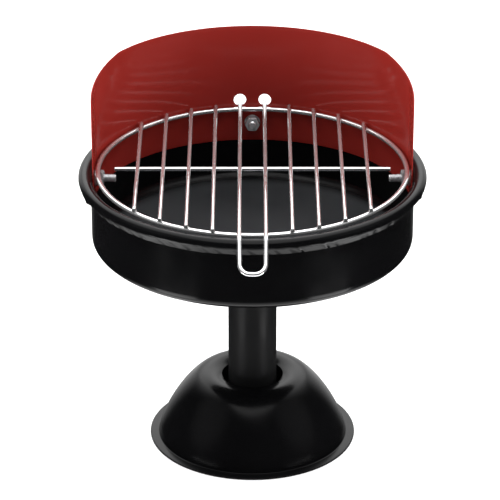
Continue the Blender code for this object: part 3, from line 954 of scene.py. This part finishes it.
def washer_mesh(name, thickness, outer):
    """A flat washer with its four edges rounded."""
    near = BOLT_HOLE_RADIUS + WASHER_ROUND
    far = outer - WASHER_ROUND
    high = thickness - WASHER_ROUND
    section = []
    for radius, height, start in (
        (near, WASHER_ROUND, pi),
        (far, WASHER_ROUND, 1.5 * pi),
        (far, high, 0),
        (near, high, pi / 2),
    ):
        section += arc((radius, height), WASHER_ROUND, start, start + pi / 2, WASHER_ROUND_STEPS)
    return turned(name, section, WASHER_SEGMENTS)


def add_steel(name, mesh, material, node, place=UPRIGHT, body="stand"):
    """Add a zinc-plated piece that stands for one node."""
    add_piece(name, mesh, material, body, node, place)


def bolt_end(node, angle):
    """How far from the axis the middle of a bolt's inner end lies, read from its box."""
    low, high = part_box(node)
    if node == "rear_bolt":
        return low.y - AXIS_Y
    return min(abs(low.x), abs(high.x)) / sin(abs(angle)) + BOLT_RADIUS / tan(abs(angle))


def shield_fasteners(material):
    """At the rear and near each end: a slotted bolt from outside, a washer and a nut inside."""
    head_seat = BOWL_RADIUS + GAP
    for side in SIDES:
        angle = bolt_angle(side)
        bolt = bolt_mesh(f"{side}_screw", head_seat - bolt_end(f"{side}_bolt", angle))
        washer = washer_mesh(f"{side}_plain_washer", WASHER_THICKNESS, WASHER_RADIUS)
        nut = nut_mesh(f"{side}_hex_nut", NUT_THICKNESS)
        for mesh, name, node, seat in (
            (bolt, "screw", "bolt", head_seat),
            (washer, "plain_washer", "washer", WASHER_SEAT),
            (nut, "hex_nut", "nut", WASHER_SEAT - WASHER_THICKNESS - GAP),
        ):
            place = UPRIGHT @ toward_axis(angle, seat, BOLT_HEIGHT)
            add_steel(f"{side}_{name}", mesh, material, f"{side}_{node}", place)


def tie_rod(material):
    """The long stud, its two washers and the low nut in the bowl."""
    low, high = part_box("tie_rod")
    stretches = [
        (low.z, low.z + ROD_THREAD, True),
        (low.z + ROD_THREAD, high.z - ROD_THREAD, False),
        (high.z - ROD_THREAD, high.z, True),
    ]
    add_steel("tie_stud", threaded_rod("tie_stud", stretches), material, "tie_rod")
    for node in ("floor_washer", "foot_washer"):
        low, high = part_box(node)
        washer = washer_mesh(f"{node}_disc", high.z - low.z, (high.x - low.x) / 2)
        add_steel(f"{node}_disc", washer, material, node, UPRIGHT @ Matrix.Translation((0, 0, low.z)))
    low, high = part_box("floor_nut")
    nut = nut_mesh("floor_hex_nut", high.z - low.z)
    add_steel("floor_hex_nut", nut, material, "floor_nut", UPRIGHT @ Matrix.Translation((0, 0, low.z)))


def wing_nut(material):
    """A tapered hub with two leaning, rounded wings, pressed in one piece."""
    low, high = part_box("wing_nut")
    corners = (
        (BORE_RADIUS, -HUB_HEIGHT),
        (HUB_RADIUS, -HUB_HEIGHT),
        (HUB_RADIUS + HUB_FLARE, 0.0),
        (BORE_RADIUS, 0.0),
    )
    hub = turned("wing_nut_body", bent_path(corners, HUB_BENDS, HUB_BEND_STEPS), HUB_SEGMENTS)
    for side in (-1, 1):
        hub = combine(hub, wing_mesh(side, (high.x - low.x) / 2), "UNION", HUB_SHARP)
    place = UPRIGHT @ Matrix.Translation((0, 0, high.z))
    add_steel("wing_nut_body", hub, material, "wing_nut", place, "wing_nut")


def wing_mesh(side, span):
    """One wing: an oval plate with a round edge, leaning out from the hub."""
    half = WING_THICKNESS / 2
    edge = arc((WING_RADIUS - half, 0.0), half, -pi / 2, pi / 2, WING_EDGE_STEPS)
    outline = [(0.0, -half)] + edge + [(0.0, half)]
    wing = turned("wing", outline, WING_SEGMENTS, closed=False)
    lean = Matrix.Rotation(side * WING_LEAN, 4, "Y")
    upright = Matrix.Rotation(pi / 2, 4, "X")
    shape = Matrix.Diagonal((1, WING_STRETCH, 1, 1))
    centre = Matrix.Translation((side * (span - WING_RADIUS - WING_INSET), 0, -WING_DROP))
    wing.transform(centre @ lean @ upright @ shape)
    return wing


# ---------------- cooking grid


def bowed(path, amount, draw):
    """The path with a slight bow, as a hand-laid wire has."""
    lean = draw.uniform(-1, 1) * amount
    sag = draw.uniform(*BAR_SAG) * amount
    last = len(path) - 1
    waves = [sin(pi * i / last) for i in range(len(path))]
    return [point + Vector((lean * wave, 0, sag * wave)) for point, wave in zip(path, waves)]


def grid_slope():
    """The angle the grid hangs at, with its tips in the shield and its handle on the rim bead."""
    span = SHIELD_RADIUS + BEAD_CENTRE[0]
    drop = HANDLE_HEIGHT - BEAD_CENTRE[1]
    return atan2(drop, span) - asin(HANDLE_TO_BEAD / hypot(span, drop))


def grid_place():
    """Where the level grid goes: tipped about the line in the shield's two holes."""
    line = Matrix.Translation((0, SHIELD_RADIUS, HANDLE_HEIGHT))
    return UPRIGHT @ line @ Matrix.Rotation(grid_slope(), 4, "X") @ line.inverted()


def add_wire(name, mesh, material, node, place=UPRIGHT):
    """Add a chromed wire that stands for one node of the grid."""
    add_piece(name, mesh, material, "cooking_grid", node, place)


def grid_wires(material):
    """The ring, the crossbar under the bars and the eight bars."""
    place = grid_place()
    turns = [2 * pi * i / RING_SEGMENTS for i in range(RING_SEGMENTS)]
    path = [(RING_RADIUS * sin(turn), RING_RADIUS * cos(turn), RING_HEIGHT) for turn in turns]
    ring = swept("rim_wire", path, RING_WIRE_RADIUS, closed=True)
    add_wire("rim_wire", ring, material, "grid_ring", place)
    low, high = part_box("grid_crossbar")
    path = straight_path((low.x, 0, CROSSBAR_HEIGHT), (high.x, 0, CROSSBAR_HEIGHT), CROSSBAR_STEPS)
    crossbar = swept("cross_wire", path, CROSSBAR_RADIUS)
    add_wire("cross_wire", crossbar, material, "grid_crossbar", place)
    draw = random.Random(BAR_SEED)
    for node in BARS:
        low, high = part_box(node)
        x = (low.x + high.x) / 2
        half_chord = sqrt(RING_RADIUS**2 - x**2)
        front = (x, -half_chord - BAR_FRONT_OVERHANG, BAR_HEIGHT)
        rear = (x, half_chord + BAR_REAR_OVERHANG, BAR_HEIGHT)
        path = bowed(straight_path(front, rear, BAR_STEPS), BAR_BOW, draw)
        name = node.replace("grid_bar", "bar_wire")
        add_wire(name, swept(name, path, BAR_RADIUS), material, node, place)


def handle_path():
    """One leg's corners from the rear tip over the rim bead to the handle's end, then back.

    Both straight runs of the leg touch the same circle round the bead's centre.
    """
    slope = grid_slope()
    tip_y = HANDLE_HIGH.y - AXIS_Y
    bend_angle = (HANDLE_SLOPE + slope) / 2
    bend_reach = HANDLE_TO_BEAD / cos((HANDLE_SLOPE - slope) / 2)
    bend_y = -BEAD_CENTRE[0] - bend_reach * sin(bend_angle)
    bend_height = BEAD_CENTRE[1] + bend_reach * cos(bend_angle)
    end_y = HANDLE_LOW.y - AXIS_Y + HANDLE_RADIUS
    end_height = bend_height - (bend_y - end_y) * tan(HANDLE_SLOPE)
    leg = [
        (HANDLE_HALF_WIDTH, tip_y, HANDLE_HEIGHT + (tip_y - SHIELD_RADIUS) * tan(slope)),
        (HANDLE_HALF_WIDTH, bend_y, bend_height),
        (HANDLE_END_HALF_WIDTH, end_y, end_height),
    ]
    other_leg = [(-x, y, z) for x, y, z in reversed(leg)]
    return bent_path(leg + other_leg, [HANDLE_BEND_RADIUS] * 4, HANDLE_BEND_STEPS)


def grid_handle(material):
    """The long U-shaped wire whose tips sit in the shield's holes."""
    handle = swept("handle_wire", handle_path(), HANDLE_RADIUS, end_round=HANDLE_END_ROUND)
    add_wire("handle_wire", handle, material, "grid_handle")


def nugget(size, draw):
    """A lumpy spot weld, flattened, as points and faces about its own middle."""
    shape = bmesh.new()
    bmesh.ops.create_icosphere(shape, subdivisions=WELD_SUBDIVISIONS, radius=1.0)
    offset = Vector((draw.uniform(0, LUMP_SPREAD), draw.uniform(0, LUMP_SPREAD), 0))
    points = []
    for vert in shape.verts:
        lump = 1 + LUMP_HEIGHT * noise.noise(vert.co * LUMP_SCALE + offset)
        points.append(Vector((vert.co.x * size[0], vert.co.y * size[1], vert.co.z * size[2])) * lump)
    faces = [[vert.index for vert in face.verts] for face in shape.faces]
    shape.free()
    return points, faces


def weld_places():
    """The middle and the size of each weld, where an upper wire crosses the ring or the crossbar."""
    uppers = [(-HANDLE_HALF_WIDTH, HANDLE_RADIUS), (HANDLE_HALF_WIDTH, HANDLE_RADIUS)]
    for node in BARS:
        low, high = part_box(node)
        uppers.append(((low.x + high.x) / 2, BAR_RADIUS))
    places = []
    for x, radius in uppers:
        reach = sqrt(RING_RADIUS**2 - x**2)
        for y, lower, share in (
            (-reach, RING_WIRE_RADIUS, RING_WELD),
            (0, CROSSBAR_RADIUS, CROSSBAR_WELD),
            (reach, RING_WIRE_RADIUS, RING_WELD),
        ):
            size = (radius * share[0], lower * share[1], radius * share[2])
            places.append((Vector((x, y, WELD_HEIGHT - GAP / 2)), size))
    return places


def grid_welds(material):
    """One nugget in each crossing, between the upper wire and the lower, all in one piece."""
    draw = random.Random(WELD_SEED)
    points = []
    faces = []
    for middle, size in weld_places():
        lump, lump_faces = nugget(size, draw)
        start = len(points)
        points += [point + middle for point in lump]
        faces += [[index + start for index in face] for face in lump_faces]
    welds = mesh_from("spot_welds", points, faces)
    add_piece("spot_welds", welds, material, "cooking_grid", place=grid_place())


# ---------------- studio


def make_camera():
    """The camera at the viewing angle, looking down at the grill, with everything in focus."""
    data = bpy.data.cameras.new("camera")
    data.lens = CAMERA_LENS
    data.clip_end = CAMERA_REACH
    camera = add_object("camera", data)
    camera.location = CAMERA_PLACE
    camera.rotation_euler = (CAMERA_TILT, 0, 0)
    bpy.context.scene.camera = camera


def make_floor(material):
    """A wide floor that the enamel doesn't mirror."""
    shape = bmesh.new()
    bmesh.ops.create_grid(shape, x_segments=FLOOR_CELLS, y_segments=FLOOR_CELLS, size=FLOOR_SIZE / 2)
    mesh = free_mesh("floor", shape)
    mesh.materials.append(material)
    floor = add_object("floor", mesh)
    floor.visible_glossy = False


def softbox(name, place, aim, size, power):
    """A large soft lamp that lights the grill but isn't mirrored in it."""
    data = bpy.data.lights.new(name, "AREA")
    data.shape = "RECTANGLE"
    data.size = size[0]
    data.size_y = size[1]
    data.energy = power
    light = add_object(name, data)
    light.location = place
    direction = Vector(aim) - Vector(place)
    light.rotation_euler = direction.to_track_quat("-Z", "Y").to_euler()
    light.visible_glossy = False


def glowing_card(name):
    """The material of a pale card that only reflections see."""
    material, shader, place = base_material(name, {"Roughness": 1.0, "Emission Strength": CARD_GLOW})
    cloud = noise_node(material, place, scale=6.0)
    tint(material, shader, cloud, ((0.3, (0.8, 0.8, 0.8)), (0.7, (1, 1, 1))), socket="Emission Color")
    return material


def floor_cards(material):
    """A card on the table at each side of the foot, mirrored as a soft band up the tube."""
    for side in (-1, 1):
        first = side * CARD_ANGLE - CARD_HALF_WIDTH
        last = side * CARD_ANGLE + CARD_HALF_WIDTH
        ends = ((CARD_NEAR, first), (CARD_FAR, first), (CARD_FAR, last), (CARD_NEAR, last))
        corners = [
            (radius * sin(angle), AXIS_Y - radius * cos(angle), CARD_HEIGHT) for radius, angle in ends
        ]
        mesh = bpy.data.meshes.new("card")
        mesh.from_pydata(corners, [], [(0, 1, 2, 3)])
        mesh.materials.append(material)
        card = add_object("card", mesh)
        card.visible_camera = False
        card.visible_diffuse = False
        card.visible_shadow = False


def world_zone(world, place, axis, start, end, level):
    """Light from the directions near an axis, rising smoothly from the start to its level at the end."""
    lean = add_node(world, "ShaderNodeVectorMath", {"operation": "DOT_PRODUCT"}, {1: axis})
    link(world, place, "Generated", lean, 0)
    limits = {"From Min": start, "From Max": end, "To Max": level}
    rise = add_node(world, "ShaderNodeMapRange", {"interpolation_type": "SMOOTHSTEP"}, limits)
    link(world, lean, "Value", rise, "Value")
    return rise


def make_world():
    """A studio bright overhead, behind and below, dim elsewhere, and plain white to the camera."""
    world = bpy.data.worlds.new("studio")
    bpy.context.scene.world = world
    world.use_nodes = True
    place = add_node(world, "ShaderNodeTexCoord")
    total = None
    for zone in WORLD_ZONES:
        light = world_zone(world, place, *zone)
        brightest = add_node(world, "ShaderNodeMath", {"operation": "MAXIMUM"}, {1: WORLD_DARK})
        link(world, light, "Result", brightest, 0)
        if total:
            link(world, total, "Value", brightest, 1)
        total = brightest
    ray = add_node(world, "ShaderNodeLightPath")
    mix = add_node(world, "ShaderNodeMix", {"data_type": "RGBA"}, {"B": BACKDROP})
    link(world, ray, "Is Camera Ray", mix, "Factor")
    link(world, total, "Value", mix, "A")
    link(world, mix, "Result", world.node_tree.nodes["Background"], "Color")


def make_studio():
    """The world, the lamps, the floor and the two cards."""
    make_world()
    for lamp in SOFTBOXES:
        softbox(*lamp)
    floor_cards(glowing_card("glowing_card"))
    make_floor(pale_floor("pale_floor"))


def main():
    """Set up the studio, then build every piece in its material."""
    bpy.context.scene.view_settings.view_transform = "Standard"
    make_camera()
    make_studio()
    steel = zinc("zinc_steel")
    chrome = bright_wire("chromed_wire")
    fire_bowl(bowl_enamel("bowl_enamel"))
    wind_shield(enamel("red_enamel", RED, DEEP_RED, 0.12, coat=0.15))
    base_dome(enamel("black_enamel", BLACK, DEEP_BLACK, 0.18))
    pedestal_tube(enamel("satin_enamel", SATIN, DEEP_SATIN, 0.34))
    shield_fasteners(steel)
    tie_rod(steel)
    wing_nut(steel)
    grid_wires(chrome)
    grid_handle(chrome)
    grid_welds(weld_metal("weld_metal"))


main()
